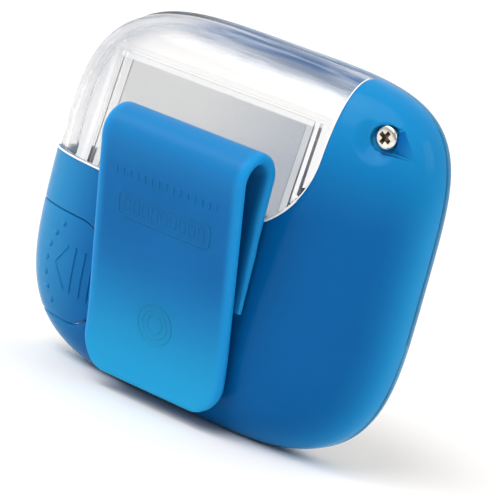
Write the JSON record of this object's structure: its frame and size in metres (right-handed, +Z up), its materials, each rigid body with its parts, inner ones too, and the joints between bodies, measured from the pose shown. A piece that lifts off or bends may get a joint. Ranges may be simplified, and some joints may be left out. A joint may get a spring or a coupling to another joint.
{
  "type": "pedometer",
  "caption": "Belt-clip pedometer: pillow-shaped body with a clear upper half, see-through display, blue lower shell with a side horn, sliding battery door and folded belt clip.",
  "frame": {"origin": "middle of the flat front face", "axes": "as worn: +Z up, +X to the wearer's right when the front faces away (the battery door's side), +Y from the front face to the belt clip"},
  "size_m": [0.068, 0.0262, 0.0574],
  "materials": {
    "clear_plastic": "clear polycarbonate, polished",
    "blue_plastic": "glossy blue moulded plastic, slightly translucent at its edges",
    "clip_plastic": "satin blue moulded plastic, brighter where it is thin",
    "lcd_glass": "clear float glass",
    "polarizer_film": "grey neutral film",
    "grey_rubber": "moulded silicone",
    "board": "green solder mask on glass-epoxy board",
    "black_epoxy": "cured drop of epoxy",
    "ceramic": "fired ceramic",
    "nickel": "bright nickel plate",
    "button_plastic": "light grey moulded caps",
    "black_plastic": "satin black plastic",
    "cell_steel": "nickel-plated steel can",
    "white_plastic": "white acetal",
    "brass": "stamped brass",
    "steel_weight": "turned steel",
    "felt_pad": "soft pad"
  },
  "bodies": {
    "case": {"front_shell": "clear_plastic", "rear_window": "clear_plastic", "lcd_frame": "clear_plastic", "rear_cover": "blue_plastic", "clip_root": "clip_plastic", "fascia": "blue_plastic", "lcd_rear_glass": "lcd_glass", "lcd_front_glass": "lcd_glass", "rear_polarizer": "polarizer_film", "front_polarizer": "polarizer_film", "zebra_strip": "grey_rubber", "circuit_board": "board", "chip_blob": "black_epoxy", "crystal_can": "nickel", "chip_capacitor": "ceramic", "board_screw_left": "nickel", "board_screw_right": "nickel", "keypad": "grey_rubber", "battery_tray": "black_plastic", "coin_cell": "cell_steel", "battery_spring_contact": "nickel", "battery_side_contact": "nickel", "pendulum_frame": "white_plastic", "pendulum_pin": "nickel", "pendulum_spring": "nickel", "pendulum_stop": "felt_pad", "case_screw_horn": "nickel", "case_screw_clip": "nickel"},
    "door": {"battery_door": "blue_plastic"},
    "clip": {"clip_leaf": "clip_plastic"},
    "mode": {"mode_button": "button_plastic"},
    "set": {"set_button": "button_plastic"},
    "reset": {"reset_button": "button_plastic"},
    "pendulum": {"pendulum_arm": "brass", "pendulum_weight": "steel_weight"}
  },
  "joints": [
    {"name": "clip_flex", "type": "hinge", "parent": "case", "child": "clip", "pos_m": [0.0007, 0.02205, 0.01402], "axis": [1, 0, 0], "range_deg": [0, 9], "stiffness_Nm_per_rad": 2},
    {"name": "door_slide", "type": "slide", "parent": "case", "child": "door", "axis": [1, 0, 0], "range_m": [0, 0.018]},
    {"name": "pendulum_swing", "type": "hinge", "parent": "case", "child": "pendulum", "pos_m": [-0.0065, 0.0095, -0.0129], "axis": [0, 1, 0], "range_deg": [-5, 7], "stiffness_Nm_per_rad": 0.0006, "springref_deg": 5.73, "deforming": ["pendulum_spring"]},
    {"name": "mode_press", "type": "slide", "parent": "case", "child": "mode", "axis": [0, 1, 0], "range_m": [0, 0.0008], "stiffness_N_per_m": 1200, "springref_m": -0.0004},
    {"name": "set_press", "type": "slide", "parent": "case", "child": "set", "axis": [0, 1, 0], "range_m": [0, 0.0008], "stiffness_N_per_m": 1200, "springref_m": -0.0004},
    {"name": "reset_press", "type": "slide", "parent": "case", "child": "reset", "axis": [0, 1, 0], "range_m": [0, 0.0008], "stiffness_N_per_m": 1200, "springref_m": -0.0004}
  ]
}
